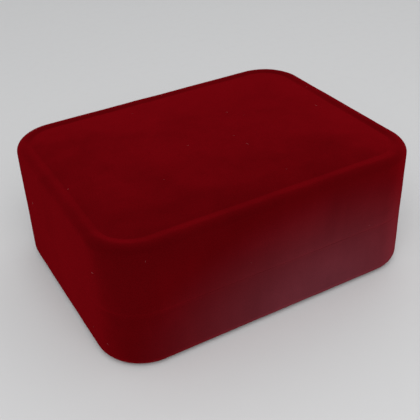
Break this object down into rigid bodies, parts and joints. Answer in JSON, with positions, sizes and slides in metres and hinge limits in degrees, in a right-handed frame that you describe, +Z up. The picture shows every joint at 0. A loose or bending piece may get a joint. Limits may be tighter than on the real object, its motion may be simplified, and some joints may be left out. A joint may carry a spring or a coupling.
{
  "type": "ring box",
  "caption": "Rounded rectangular velvet ring box, closed, with a rolled rim and domed lid on a sprung back hinge, padded ring rolls inside and a satin-lined lid.",
  "frame": {"origin": "centre of the underside, on the table", "axes": "+X along the length of the case, +Y towards the hinge at the back, +Z up; the front faces -Y"},
  "size_m": [0.09, 0.0716, 0.0372],
  "materials": {
    "case_velvet": "matte",
    "roll_velvet": "matte",
    "collar_flock": "matte",
    "foot_pad_felt": "matte",
    "shell_plastic": "satin",
    "card": "matte",
    "foam": "matte",
    "hinge_brass": "satin",
    "pin_steel": "satin",
    "lid_satin": "satin"
  },
  "bodies": {
    "base": {"base_shell": "shell_plastic", "base_velvet": "case_velvet", "base_foot_pad": "foot_pad_felt", "base_collar": "collar_flock", "insert_board": "card", "ring_roll_1": "roll_velvet", "ring_roll_2": "roll_velvet", "ring_roll_3": "roll_velvet", "ring_roll_4": "roll_velvet", "ring_roll_5": "roll_velvet", "roll_core_1": "foam", "roll_core_2": "foam", "roll_core_3": "foam", "roll_core_4": "foam", "roll_core_5": "foam", "hinge_base_leaf": "hinge_brass", "hinge_pin": "pin_steel", "hinge_spring": "pin_steel", "hinge_base_rivets": "hinge_brass"},
    "lid": {"lid_shell": "shell_plastic", "lid_velvet": "case_velvet", "lid_wall_strip": "lid_satin", "lid_pad_card": "card", "lid_pad_wadding": "foam", "lid_pad_satin": "lid_satin", "hinge_lid_leaf": "hinge_brass", "hinge_lid_rivets": "hinge_brass"}
  },
  "joints": [
    {"name": "lid_hinge", "type": "hinge", "parent": "base", "child": "lid", "pos_m": [0, 0.0351, 0.01655], "axis": [-1, 0, 0], "range_deg": [0, 100]}
  ]
}
